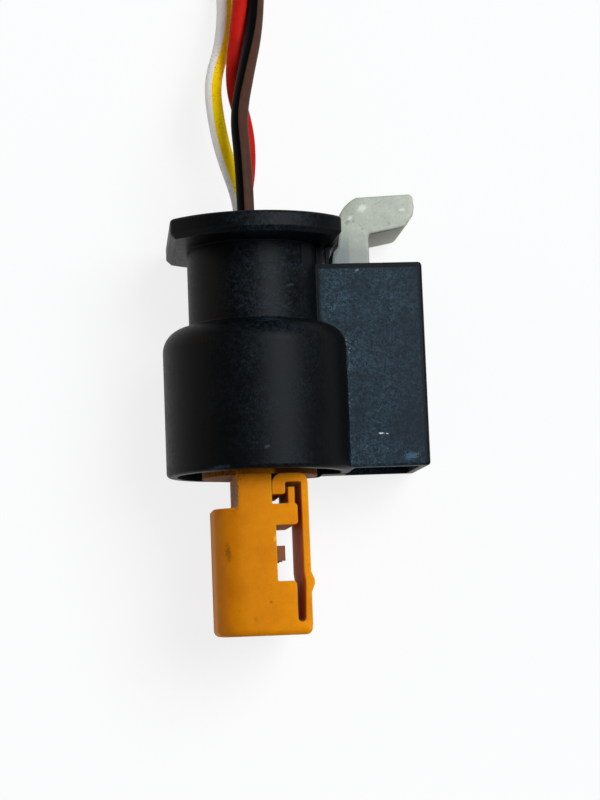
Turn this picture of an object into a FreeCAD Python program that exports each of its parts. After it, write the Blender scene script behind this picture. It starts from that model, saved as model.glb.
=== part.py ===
import FreeCAD, Part
import Sketcher
import math
import os
from types import SimpleNamespace

# A three-wire automotive sensor plug with its wires, lying on its back.
# Millimetres. +Y runs along the plug's axis towards the wires, +Z is the side with the panel,
# +X points to the latch box. The origin is on the axis, in the plane of the skirt's mouth.

V = FreeCAD.Vector
doc = FreeCAD.newDocument("wiring_loom_connector")

# The driving dimensions: name, value, and what it is. The plug's round shapes grow outwards from
# the row of contacts, and its heights follow one another along the axis.
DIMENSIONS = [
    ("contact_pitch", 3.4, "distance between neighbouring contacts"),
    ("contact_place", -0.65, "axis to the row of contacts, sideways"),
    ("contact_side", 1.9, "side of the square contact box"),
    ("contact_fit", 0.1, "gap round a contact and at its ends"),
    ("plug_wall", 0.85, "end of the row of cavities to the outside of the round plug"),
    ("ring_seal_thickness", 0.85, "ring seal without its lips"),
    ("ring_seal_lip", 0.15, "height of the ring seal's lips"),
    ("ring_seal_length", 4.4, "length of the ring seal"),
    ("ring_seal_fit", 0.03, "gap inside the ring seal and behind it"),
    ("collar_room", 1.3, "ring seal to the skirt, where the mating collar goes"),
    ("skirt_wall", 0.95, "wall of the skirt"),
    ("mouth_round", 0.35, "rounding of the skirt's outer rim"),
    ("body_length", 13.7, "skirt mouth to the top of the shoulder"),
    ("roof_thickness", 2.4, "floor of the skirt's hollow to the top of the shoulder"),
    ("shoulder_flat", 0.28, "flat between the neck and the shoulder's rounding"),
    ("neck_root_round", 0.25, "hollow rounding between neck and shoulder"),
    ("seal_bore_radius", 1.5, "bore for one wire seal"),
    ("neck_wall", 1.15, "outer seal bore to the outside of the neck"),
    ("tail_length", 2.9, "floor of the skirt's hollow to the end of the carrier's tail"),
    ("neck_floor", 2.0, "end of the carrier's tail to the floor of the seal bores"),
    ("seal_room", 0.67, "floor of a seal bore to its seal"),
    ("seal_length", 4.6, "length of one wire seal"),
    ("seal_rib", 0.18, "height of a wire seal's ribs"),
    ("seal_fit", 0.03, "gap round a wire seal, outside, inside and above"),
    ("cover_thickness", 1.3, "thickness of the rear cover"),
    ("cover_side", 1.6, "seal bore to the flank of the rear cover"),
    ("cover_end", 1.3, "outer seal bore to the end of the rear cover"),
    ("cover_round", 0.6, "rounding of the rear cover's corners"),
    ("cover_edge", 0.15, "rounding of the rear cover's upper edge"),
    ("cover_fit", 0.06, "gap round the rear cover"),
    ("cover_hole_fit", 0.25, "gap round a wire in the rear cover"),
    ("flange_thickness", 1.85, "thickness of the flange"),
    ("flange_reach", 1.7, "neck to a flank of the flange"),
    ("flange_rise", 1.65, "skirt's outside to the front of the flange"),
    ("flange_corner", 0.8, "rounding of the flange's corners"),
    ("flange_edge", 0.45, "chamfer under the flange"),
    ("box_reach", 7.15, "skirt's outside to the right wall of the latch box"),
    ("box_bite", 0.45, "how far the latch box runs into the neck"),
    ("box_low", 0.3, "skirt mouth to the lower edge of the latch box"),
    ("flange_gap", 1.7, "top of the latch box to the underside of the flange"),
    ("box_front", 2.0, "axis to the front wall of the latch box"),
    ("box_wall", 0.8, "wall of the latch box"),
    ("box_round", 0.4, "rounding of the latch box's outer edges"),
    ("box_foot", 0.3, "rounding of the latch box's lower edge"),
    ("hollow_gap", 0.2, "skirt's outside to the hollow of the latch box"),
    ("beam_thickness", 0.9, "thickness of the latch beam"),
    ("beam_width", 3.6, "width of the latch beam"),
    ("beam_low", 1.6, "skirt mouth to the tip of the latch beam"),
    ("beam_root", 1.3, "root of the latch beam to the floor of the skirt's hollow"),
    ("hook_height", 0.85, "how far the latch hook stands inwards"),
    ("hook_length", 2.2, "length of the latch hook along the axis"),
    ("hook_ramp", 0.66, "height of the latch hook's slope"),
    ("window_gap", 0.6, "gap beside the latch beam"),
    ("rib_gap", 0.75, "neck to the tapered rib"),
    ("rib_thickness", 0.18, "foot of the tapered rib beside the neck"),
    ("rib_top_thickness", 0.55, "top of the tapered rib beside the neck"),
    ("rib_depth", 5.0, "depth of the tapered rib"),
    ("web_reach", 0.4, "how far the small web stands out of the neck"),
    ("web_depth", 2.0, "depth of the small web beside the neck"),
    ("panel_left", 0.2, "axis to the left side of the shallow panel on the neck"),
    ("panel_width", 4.0, "width of the shallow panel"),
    ("panel_height", 2.2, "height of the shallow panel"),
    ("panel_step", 0.08, "how far the panel is sunk"),
    ("nose_left", 4.55, "axis to the left side of the contact carrier"),
    ("nose_right", 3.88, "axis to the right side of the contact carrier"),
    ("nose_cheek", 1.05, "end of the row of cavities to the carrier's front"),
    ("nose_round", 2.5, "rounding of the carrier's left edges"),
    ("nose_corner", 0.5, "rounding of the carrier's right edges"),
    ("nose_end_round", 0.6, "rounding round the carrier's nose"),
    ("nose_wall", 0.9, "wall at the carrier's nose, in front of the contacts"),
    ("notch_height", 3.0, "height of the notch at the carrier's left side"),
    ("notch_round", 0.25, "roundings at the notch"),
    ("stem_left", 2.42, "axis to the left side of the carrier's stem"),
    ("plug_low", 0.25, "skirt mouth to the lower end of the carrier's round plug"),
    ("plug_ring", 0.8, "how far the ring behind the ring seal stands out"),
    ("plug_ring_height", 2.7, "height of the ring behind the ring seal"),
    ("tail_step", 0.2, "round plug to the thinner tail in the neck"),
    ("tail_fit", 0.08, "gap round the carrier's tail"),
    ("pin_hole_radius", 0.6, "hole for one mating pin"),
    ("pin_lead", 0.25, "chamfer round the hole for a mating pin"),
    ("block_wall", 0.2, "cavities to the edge of the carrier beside the hook"),
    ("block_step", 0.28, "how much farther the wall beside the tall window reaches"),
    ("hook_web", 0.8, "thickness of the hook's bend"),
    ("hook_bend", 0.95, "outer rounding of the hook's bend"),
    ("hook_inside", 0.2, "inner rounding of the hook's bend"),
    ("hook_drop", 1.08, "hook's bend to the tip of its leg"),
    ("hook_fit", 0.06, "gap between the hook's leg and the carrier"),
    ("hook_gap", 0.87, "tip of the hook's leg to the upper bar"),
    ("bar_height", 1.9, "height of the upper bar"),
    ("bar_gap", 0.42, "upper bar to the arm"),
    ("bar_round", 0.3, "rounding of the upper bar's end"),
    ("window_height", 5.0, "height of the tall window"),
    ("window_round", 0.15, "rounding in the corners of the windows"),
    ("block_round", 0.4, "rounding between the tall window and the slot"),
    ("slot_width", 0.72, "width of the slot beside the arm"),
    ("slot_length", 3.65, "tall window to the closed end of the slot"),
    ("slot_round", 0.34, "rounding at the closed end of the slot"),
    ("slot_floor", 1.15, "closed end of the slot to the carrier's nose"),
    ("tongue_gap", 0.6, "small tongue to the arm"),
    ("tongue_width", 0.56, "width of the small tongue"),
    ("tongue_height", 1.5, "height of the small tongue"),
    ("tongue_fit", 0.3, "small tongue to the hook's leg"),
    ("arm_thickness", 0.6, "thickness of the carrier's flexing arm"),
    ("arm_set_back", 0.12, "how far the arm lies behind the carrier's faces"),
    ("arm_bow", 0.12, "how far the arm's inner side gives way at the bump"),
    ("bump_height", 0.3, "how far the bump stands out of the arm"),
    ("bump_below", 0.15, "lower end of the tall window to the bump"),
    ("bump_flat", 0.4, "flat on top of the bump"),
    ("bump_slope", 0.75, "length of each slope of the bump"),
    ("post_inset", 1.23, "skirt's outside to the left side of the slider's post"),
    ("post_outset", 2.4, "skirt's outside to the right side of the slider's post"),
    ("post_hold", 1.85, "roof of the latch box to the foot of the slider's post"),
    ("head_inset", 0.33, "right wall of the latch box to the tip of the slider's head"),
    ("head_left", 0.22, "skirt's outside to the left side of the slider's head"),
    ("head_height", 3.8, "height of the slider's head"),
    ("head_rest", 0.45, "slider's head to the latch box when it is pushed in"),
    ("head_tip", 2.6, "height of the tip of the slider's head above its underside"),
    ("head_round", 0.45, "rounding of the upper right edge of the slider's head"),
    ("head_slope", 1.62, "width of the sloping left shoulder of the slider's head"),
    ("head_shoulder", 1.8, "height of the sloping left shoulder of the slider's head"),
    ("post_corner", 0.3, "rounding between the slider's post and head"),
    ("slider_fit", 0.15, "gap round the slider"),
    ("flank_gap", 0.2, "gap between the slider and the flank of the flange"),
    ("slider_back_gap", 0.7, "gap behind the slider"),
    ("slot_spare", 0.25, "gap beside the slider's post in the roof of the latch box"),
    ("catch", 0.55, "how far the slider's catch stands out under the roof"),
    ("leg_gap", 0.35, "gap between the latch beam and the slider's leg"),
    ("leg_reach", 1.1, "latch hook to the end of the leg when the slider is pushed in"),
    ("leg_set_back", 1.4, "how much narrower the leg is, on each side"),
    ("slider_travel", 2.4, "how far the slider is pushed in"),
    ("contact_box_length", 11.0, "length of the square contact box"),
    ("contact_neck_length", 2.4, "length of the strip between box and crimp"),
    ("contact_sheet", 0.25, "sheet thickness of a contact"),
    ("socket_side", 0.9, "opening of the contact box"),
    ("socket_floor", 1.0, "end of the contact box behind its opening"),
    ("crimp_length", 2.6, "length of the conductor crimp"),
    ("crimp_gap", 0.7, "bare conductor between the two crimps"),
    ("crimp_fit", 0.02, "gap round what a crimp or spring holds"),
    ("sleeve_length", 2.2, "length of the insulation crimp"),
    ("spring_sheet", 0.09, "sheet thickness of the spring round a contact"),
    ("spring_length", 3.5, "length of the spring round a contact"),
    ("lance_below", 1.8, "upper bar to a contact's locking tab"),
    ("lance_length", 1.35, "length of a contact's locking tab"),
    ("lance_reach", 0.9, "wall beside the tall window to the tip of a contact's locking tab"),
    ("lance_width", 0.5, "width of a contact's locking tab"),
    ("lance_fit", 0.12, "gap round a contact's locking tab"),
    ("wire_radius", 0.8, "outside of an insulated wire"),
    ("conductor_radius", 0.45, "copper conductor of a wire"),
    ("wire_straight", 3.0, "how far a wire leaves the rear cover straight"),
    ("wire_bare", 0.3, "how far a conductor reaches past its crimp"),
]

# How far a joined shape runs into its neighbour, and a cut past the face that it opens.
SINK = 0.3
PAST = 1.0

sheet = doc.addObject("Spreadsheet::Sheet", "Sizes")
for row, (alias, value, remark) in enumerate(DIMENSIONS, start=1):
    sheet.set(f"A{row}", remark)
    sheet.set(f"B{row}", str(value))
    sheet.setAlias(f"B{row}", alias)
doc.recompute()


class Size:
    """A length: its number, and the expression on the sheet's cells that gives it."""

    def __init__(self, number, words):
        self.number = number
        self.words = words

    def __add__(self, other):
        other = as_size(other)
        return Size(self.number + other.number, f"({self.words} + {other.words})")

    def __sub__(self, other):
        other = as_size(other)
        return Size(self.number - other.number, f"({self.words} - {other.words})")

    def __mul__(self, other):
        other = as_size(other)
        return Size(self.number * other.number, f"({self.words} * {other.words})")

    def __neg__(self):
        return Size(-self.number, f"(-1 * {self.words})")

    def __radd__(self, other):
        return as_size(other) + self

    def __rsub__(self, other):
        return as_size(other) - self

    def __rmul__(self, other):
        return as_size(other) * self

    def chord(self, other):
        """The other leg of a right triangle with this long side."""
        other = as_size(other)
        number = math.sqrt(self.number**2 - other.number**2)
        return Size(number, f"sqrt({self.words}^2 - {other.words}^2)")


def as_size(value):
    """A plain number as a Size."""
    if isinstance(value, Size):
        return value
    return Size(float(value), f"{float(value)}")


D = SimpleNamespace(**{alias: Size(value, f"Sizes.{alias}") for alias, value, _ in DIMENSIONS})


def bind(thing, **lengths):
    """Bind properties to sizes; a double underscore stands for a dot."""
    for name, length in lengths.items():
        thing.setExpression(name.replace("__", "."), as_size(length).words)


def body(label):
    """An empty body named for its sub-part."""
    made = doc.addObject("PartDesign::Body", label)
    made.Label = label
    return made


def sketch(owner, name, role, offset):
    """A sketch on one of the body's own planes, moved along the plane's normal."""
    made = owner.newObject("Sketcher::SketchObject", name)
    plane = next(f for f in owner.Origin.OriginFeatures if f.Role == role)
    made.AttachmentSupport = [(plane, "")]
    made.MapMode = "FlatFace"
    made.AttachmentOffset = FreeCAD.Placement(V(0, 0, as_size(offset).number), FreeCAD.Rotation())
    bind(made, AttachmentOffset__Base__z=offset)
    return made


def outline(drawn, corners):
    """A closed outline. A corner is (x, y), or (x, y, radius) where an arc leads to the next one.

    A positive radius bulges to the right of the way to the next corner, a negative one to the left.
    """
    count = len(corners)
    for here, there in zip(corners, corners[1:] + corners[:1]):
        a = V(as_size(here[0]).number, as_size(here[1]).number, 0)
        b = V(as_size(there[0]).number, as_size(there[1]).number, 0)
        if len(here) == 2:
            drawn.addGeometry(Part.LineSegment(a, b), False)
            continue
        radius = as_size(here[2]).number
        half = (b - a).Length / 2
        side = V((b - a).y, (a - b).x, 0).normalize() * math.copysign(1, radius)
        rise = abs(radius) - math.sqrt(radius**2 - half**2)
        drawn.addGeometry(Part.Arc(a, (a + b) * 0.5 + side * rise, b), False)
    for i, corner in enumerate(corners):
        ends = [1, 2]
        if len(corner) == 3 and as_size(corner[2]).number < 0:
            ends = [2, 1]
        after = corners[(i + 1) % count]
        first = 2 if len(after) == 3 and as_size(after[2]).number < 0 else 1
        drawn.addConstraint(Sketcher.Constraint("Coincident", i, ends[1], (i + 1) % count, first))
        for kind, value in (("DistanceX", corner[0]), ("DistanceY", corner[1])):
            value = as_size(value)
            made = drawn.addConstraint(Sketcher.Constraint(kind, i, ends[0], value.number))
            drawn.setExpression(f"Constraints[{made}]", value.words)
        if len(corner) == 3:
            radius = as_size(corner[2])
            if radius.number < 0:
                radius = -radius
            made = drawn.addConstraint(Sketcher.Constraint("Radius", i, radius.number))
            drawn.setExpression(f"Constraints[{made}]", radius.words)


def pad(owner, name, role, low, length, corners, cut=False):
    """A prism on a plane, from low on by length along +Z, or along +Y on the XZ plane."""
    along_y = role == "XZ_Plane"
    drawn = sketch(owner, name + "Outline", role, -as_size(low) if along_y else low)
    outline(drawn, corners)
    made = owner.newObject("PartDesign::Pocket" if cut else "PartDesign::Pad", name)
    made.Profile = drawn
    bind(made, Length=length)
    made.Reversed = along_y != cut
    return made


def turn(owner, name, corners, cut=False):
    """A solid or a groove turned round the Y axis; corners are (radius, y)."""
    drawn = sketch(owner, name + "Outline", "XY_Plane", 0)
    outline(drawn, corners)
    made = owner.newObject("PartDesign::Groove" if cut else "PartDesign::Revolution", name)
    made.Profile = drawn
    made.ReferenceAxis = (drawn, ["V_Axis"])
    made.Angle = 360
    return made


def block(owner, name, low, high, cut=False):
    """A box between two corners, added to a body or cut from it."""
    made = owner.newObject("PartDesign::SubtractiveBox" if cut else "PartDesign::AdditiveBox", name)
    low = [as_size(v) for v in low]
    high = [as_size(v) for v in high]
    bind(made, Length=high[0] - low[0], Width=high[1] - low[1], Height=high[2] - low[2])
    bind(made, Placement__Base__x=low[0], Placement__Base__y=low[1], Placement__Base__z=low[2])
    return made


def bore(owner, name, centre, radius, low, high, cut=True):
    """A round bore or pin along +Y; centre is (x, z)."""
    kind = "PartDesign::SubtractiveCylinder" if cut else "PartDesign::AdditiveCylinder"
    made = owner.newObject(kind, name)
    made.Placement = FreeCAD.Placement(V(0, 0, 0), FreeCAD.Rotation(V(1, 0, 0), -90))
    bind(made, Radius=radius, Height=as_size(high) - low)
    bind(made, Placement__Base__x=centre[0], Placement__Base__y=low, Placement__Base__z=centre[1])
    return made


def edges_of(shape, wanted):
    """The names of the edges of a shape that a test picks."""
    return [f"Edge{i}" for i, edge in enumerate(shape.Edges, start=1) if wanted(edge)]


def near(a, b):
    """Whether two numbers are the same place."""
    return abs(a - as_size(b).number) < 0.01


def dress(owner, name, kind, size, wanted):
    """A fillet or chamfer on the edges of the body's tip that a test picks."""
    doc.recompute()
    base = owner.Tip
    picked = edges_of(base.Shape, wanted)
    if not picked:
        raise ValueError(f"{name} finds no edge")
    made = owner.newObject(f"PartDesign::{kind}", name)
    made.Base = (base, picked)
    bind(made, **{"Size" if kind == "Chamfer" else "Radius": size})
    doc.recompute()
    return made


def level(edge, y):
    """Whether an edge lies flat at a height along the axis."""
    box = edge.BoundBox
    return near(box.YMin, y) and near(box.YMax, y)


WIRE_NAMES = ["brown", "yellow", "red"]
CONTACTS = [D.contact_pitch, as_size(0), -D.contact_pitch]

# Across the axis, outwards from the row of contacts.
CAVITY_HALF = D.contact_side * 0.5 + D.contact_fit
ROW_HALF = D.contact_pitch + CAVITY_HALF
PLUG_RADIUS = ROW_HALF + D.plug_wall
PLUG_RING_RADIUS = PLUG_RADIUS + D.plug_ring
SEAL_OUTSIDE = PLUG_RADIUS + D.ring_seal_thickness
SKIRT_IN = SEAL_OUTSIDE + D.ring_seal_lip + D.collar_room
BODY_RADIUS = SKIRT_IN + D.skirt_wall
NECK_RADIUS = D.contact_pitch + D.seal_bore_radius + D.neck_wall
TAIL_RADIUS = PLUG_RADIUS - D.tail_step
SHOULDER_ROUND = BODY_RADIUS - NECK_RADIUS - D.shoulder_flat
BACK = -BODY_RADIUS

# Upwards along the axis, from the skirt's mouth to the flange.
SKIRT_DEPTH = D.body_length - D.roof_thickness
TAIL_TOP = SKIRT_DEPTH + D.tail_length
SEAL_BORE_LOW = TAIL_TOP + D.neck_floor
SEAL_LOW = SEAL_BORE_LOW + D.seal_room
COVER_LOW = SEAL_LOW + D.seal_length + D.seal_fit
FLANGE_TOP = COVER_LOW + D.cover_thickness
FLANGE_LOW = FLANGE_TOP - D.flange_thickness
BOX_TOP = FLANGE_LOW - D.flange_gap
FLANK = NECK_RADIUS + D.flange_reach

# The latch box and the slider in it.
BOX_LEFT = NECK_RADIUS - D.box_bite
BOX_RIGHT = BODY_RADIUS + D.box_reach
BOX_MIDDLE = (D.box_front - BODY_RADIUS) * 0.5
ROOF = BOX_TOP - D.box_wall
CAVITY_LEFT = BODY_RADIUS + D.hollow_gap
CAVITY_FRONT = D.box_front - D.box_wall
CAVITY_BACK = BACK + D.box_wall
SLIDER_FRONT = CAVITY_FRONT - D.slider_fit
SLIDER_BACK = CAVITY_BACK + D.slider_back_gap
POST_LEFT = BODY_RADIUS - D.post_inset
POST_RIGHT = BODY_RADIUS + D.post_outset
POST_BOTTOM = ROOF - D.post_hold
HEAD_LEFT = BODY_RADIUS - D.head_left
HEAD_RIGHT = BOX_RIGHT - D.head_inset
HEAD_UNDER = BOX_TOP + D.head_rest + D.slider_travel
HEAD_TOP = HEAD_UNDER + D.head_height

# Downwards along the axis, from the carrier's round plug to its nose.
HOOK_UNDER = D.plug_low + D.hook_web
HOOK_TIP = HOOK_UNDER + D.hook_drop
BAR_TOP = HOOK_TIP + D.hook_gap
BAR_BOTTOM = BAR_TOP + D.bar_height
WINDOW_BOTTOM = BAR_BOTTOM + D.window_height
SLOT_END = WINDOW_BOTTOM + D.slot_length
NOSE_END = SLOT_END + D.slot_floor
SHOULDER_LOW = D.plug_low + D.notch_height
LANCE_TOP = BAR_BOTTOM + D.lance_below
LANCE_END = LANCE_TOP + D.lance_length
BUMP = WINDOW_BOTTOM + D.bump_below

# Across the carrier's nose.
NOSE_DEEP = ROW_HALF + D.nose_cheek
CAVITY_RIGHT = D.contact_place + CAVITY_HALF
BLOCK_EDGE = CAVITY_RIGHT + D.block_wall
WINDOW_LEFT = BLOCK_EDGE + D.block_step
ARM_IN = D.nose_right - D.arm_thickness
BAR_RIGHT = ARM_IN - D.bar_gap
SLOT_LEFT = ARM_IN - D.slot_width
TONGUE_RIGHT = ARM_IN - D.tongue_gap
TONGUE_LEFT = TONGUE_RIGHT - D.tongue_width
HOOK_LEFT = BLOCK_EDGE + D.hook_fit
HOOK_RIGHT = TONGUE_LEFT - D.tongue_fit
LANCE_TIP = WINDOW_LEFT + D.lance_reach

# Along a contact and its wire.
CONTACT_END = D.nose_wall + D.contact_fit - NOSE_END
BOX_END = CONTACT_END + D.contact_box_length
CRIMP_START = BOX_END + D.contact_neck_length
CRIMP_END = CRIMP_START + D.crimp_length
WIRE_START = CRIMP_END + D.crimp_gap
SLEEVE_END = WIRE_START + D.sleeve_length
ROUTE_START = FLANGE_TOP - D.cover_thickness * 0.3


def upright(edge, x=None, y=None):
    """Whether an edge runs along Z, at a place across and along the axis."""
    box = edge.BoundBox
    if box.XLength > 0.01 or box.YLength > 0.01:
        return False
    return (x is None or near(box.XMin, x)) and (y is None or near(box.YMin, y))


def at_corner(*corners):
    """A test for the edges along Z at given corners."""
    return lambda edge: any(upright(edge, x, y) for x, y in corners)


def outer_housing():
    """The black moulding: round skirt, neck, flange and latch box with its beam."""
    made = body("outer_housing")
    block(made, "LatchBox", (BOX_LEFT, D.box_low, BACK), (BOX_RIGHT, BOX_TOP, D.box_front))
    dress(made, "BoxEdges", "Fillet", D.box_round,
          lambda e: near(e.BoundBox.XMin, BOX_RIGHT) and not level(e, D.box_low))
    dress(made, "BoxFoot", "Fillet", D.box_foot,
          lambda e: level(e, D.box_low) and near(e.BoundBox.ZMin, D.box_front))
    rim, root = D.mouth_round, D.neck_root_round
    turn(made, "Round", [
        (0, 0), (BODY_RADIUS - rim, 0, rim), (BODY_RADIUS, rim),
        (BODY_RADIUS, D.body_length - SHOULDER_ROUND, SHOULDER_ROUND),
        (BODY_RADIUS - SHOULDER_ROUND, D.body_length), (NECK_RADIUS + root, D.body_length, -root),
        (NECK_RADIUS, D.body_length + root), (NECK_RADIUS, FLANGE_LOW + SINK), (0, FLANGE_LOW + SINK),
    ])
    arc = BODY_RADIUS + D.flange_rise
    reach = arc.chord(FLANK)
    flat = arc.chord(BODY_RADIUS)
    pad(made, "Flange", "XZ_Plane", FLANGE_LOW, D.flange_thickness, [
        (FLANK, -reach), (FLANK, reach, arc), (-FLANK, reach), (-FLANK, -reach, arc),
        (-flat, BACK), (flat, BACK, arc),
    ])
    dress(made, "FlangeCorners", "Fillet", D.flange_corner,
          lambda e: e.BoundBox.XLength < 0.01 and e.BoundBox.ZLength < 0.01
          and (near(e.BoundBox.XMax, FLANK) or near(e.BoundBox.XMin, -FLANK)))
    dress(made, "FlangeUnder", "Chamfer", D.flange_edge,
          lambda e: level(e, FLANGE_LOW) and e.BoundBox.DiagonalLength > 0.1
          and max(-e.BoundBox.XMin, e.BoundBox.XMax, e.BoundBox.ZMax, -e.BoundBox.ZMin)
          > NECK_RADIUS.number + SINK)
    dress(made, "FlangeTop", "Fillet", D.mouth_round, lambda e: level(e, FLANGE_TOP))
    block(made, "BackFill", (0, D.box_low, BACK),
          (BOX_LEFT + SINK, D.body_length - SHOULDER_ROUND, BOX_MIDDLE))
    turn(made, "SkirtHollow", [
        (0, -PAST), (SKIRT_IN, -PAST), (SKIRT_IN, SKIRT_DEPTH), (TAIL_RADIUS + D.tail_fit, SKIRT_DEPTH),
        (TAIL_RADIUS + D.tail_fit, TAIL_TOP + D.contact_fit), (0, TAIL_TOP + D.contact_fit),
    ], cut=True)
    block(made, "BoxHollow", (CAVITY_LEFT, D.box_low - PAST, CAVITY_BACK),
          (BOX_RIGHT - D.box_wall, ROOF, CAVITY_FRONT), cut=True)
    block(made, "BoxHollowAboveShoulder", (BOX_LEFT + D.box_wall, D.body_length + SINK, CAVITY_BACK),
          (CAVITY_LEFT + PAST, ROOF, CAVITY_FRONT), cut=True)
    block(made, "SliderSlot", (POST_LEFT - D.slot_spare, ROOF - PAST, SLIDER_BACK - D.slider_fit),
          (POST_RIGHT + D.slot_spare, BOX_TOP + PAST, CAVITY_FRONT), cut=True)
    beam_root = SKIRT_DEPTH - D.beam_root
    window_half = D.beam_width * 0.5 + D.window_gap
    block(made, "LatchWindow", (NECK_RADIUS, -PAST, BOX_MIDDLE - window_half),
          (CAVITY_LEFT + PAST, beam_root, BOX_MIDDLE + window_half), cut=True)
    beam_in = CAVITY_LEFT - D.beam_thickness
    hook_in = beam_in - D.hook_height
    hook_top = D.beam_low + D.hook_length
    pad(made, "LatchBeam", "XY_Plane", BOX_MIDDLE - D.beam_width * 0.5, D.beam_width, [
        (CAVITY_LEFT, D.beam_low), (CAVITY_LEFT, beam_root + SINK), (beam_in, beam_root + SINK),
        (beam_in, hook_top), (hook_in, hook_top), (hook_in, hook_top - D.hook_ramp),
    ])
    rib = NECK_RADIUS + D.rib_gap
    rib_top = FLANGE_LOW + SINK
    pad(made, "Rib", "XY_Plane", CAVITY_FRONT - D.rib_depth, D.rib_depth, [
        (rib, BOX_TOP - SINK), (rib + D.rib_thickness, BOX_TOP - SINK),
        (rib + D.rib_top_thickness, rib_top), (rib, rib_top),
    ])
    block(made, "Web", (NECK_RADIUS - SINK, BOX_TOP - SINK, -D.web_depth * 0.5),
          (NECK_RADIUS + D.web_reach, rib_top, D.web_depth * 0.5))
    panel_right = D.panel_left + D.panel_width
    sunk = NECK_RADIUS - D.panel_step
    pad(made, "Panel", "XZ_Plane", FLANGE_LOW - D.panel_height, D.panel_height, [
        (panel_right, NECK_RADIUS + PAST), (D.panel_left, NECK_RADIUS + PAST),
        (D.panel_left, sunk.chord(D.panel_left), -sunk), (panel_right, sunk.chord(panel_right)),
    ], cut=True)
    cover_side = D.seal_bore_radius + D.cover_side + D.cover_fit
    cover_end = D.contact_pitch + D.seal_bore_radius + D.cover_end + D.cover_fit
    block(made, "CoverSeat", (D.contact_place - cover_side, COVER_LOW, -cover_end),
          (D.contact_place + cover_side, FLANGE_TOP + PAST, cover_end), cut=True)
    for k, z in enumerate(CONTACTS, start=1):
        bore(made, f"SealBore{k}", (D.contact_place, z), D.seal_bore_radius, SEAL_BORE_LOW, FLANGE_TOP)
        bore(made, f"WireWay{k}", (D.contact_place, z), D.wire_radius + D.cover_hole_fit,
             TAIL_TOP, SEAL_BORE_LOW + SINK)
    return made


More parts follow.
